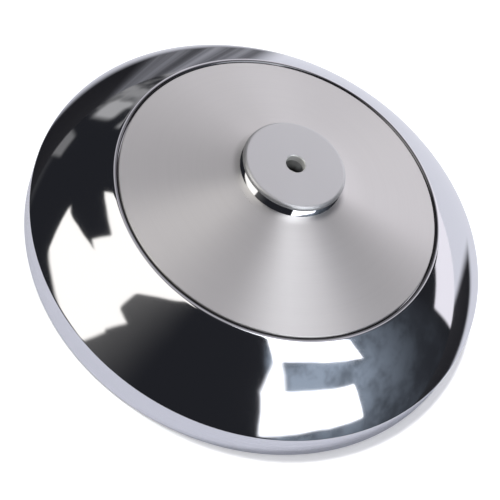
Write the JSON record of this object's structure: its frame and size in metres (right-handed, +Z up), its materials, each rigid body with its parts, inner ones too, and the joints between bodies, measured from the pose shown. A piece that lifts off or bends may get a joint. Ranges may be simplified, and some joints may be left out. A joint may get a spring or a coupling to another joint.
{
  "type": "weighted post base",
  "caption": "Round polished dome base for a rope or belt post: mirror flank, satin cone, central boss and a captive bolt worked from below.",
  "frame": {"origin": "on the floor, on the axis of the base", "axes": "+Z up along the axis of the base; the base is round, so X and Y are free, and the bolt key of the stem lies on +X"},
  "size_m": [0.356, 0.356, 0.0975],
  "materials": {
    "mirror_metal": "mirror polished, with a plain turned rim band",
    "satin_metal": "fine turned satin",
    "boss_metal": "satin top, polished edge",
    "cast_iron": "painted rough casting",
    "black_rubber": "matt",
    "zinc_steel": "zinc plated",
    "plate_paint": "powder coat",
    "spring_steel": "oiled black"
  },
  "bodies": {
    "base": {"dome_shell": "mirror_metal", "cone_cover": "satin_metal", "cover_gasket": "black_rubber", "cover_pins": "zinc_steel", "post_boss": "boss_metal", "post_stem": "zinc_steel", "boss_o_ring": "black_rubber", "support_tube": "zinc_steel", "ballast": "cast_iron", "shell_pads": "black_rubber", "stem_key": "zinc_steel", "nut_washer": "zinc_steel", "ring_nut": "zinc_steel", "nut_lock_screw": "spring_steel", "bottom_plate": "plate_paint", "plate_screws": "zinc_steel", "floor_ring": "black_rubber", "keeper_ring": "spring_steel"},
    "bolt_washers": {"flat_washer": "zinc_steel", "spring_washer": "spring_steel"},
    "bolt": {"post_bolt": "zinc_steel"}
  },
  "joints": [
    {"name": "bolt_lift", "type": "slide", "parent": "base", "child": "bolt_washers", "axis": [0, 0, 1], "range_m": [0, 0.032]},
    {"name": "bolt_turn", "type": "hinge", "parent": "bolt_washers", "child": "bolt", "pos_m": [0, 0, 0.02], "axis": [0, 0, 1], "continuous": true}
  ]
}
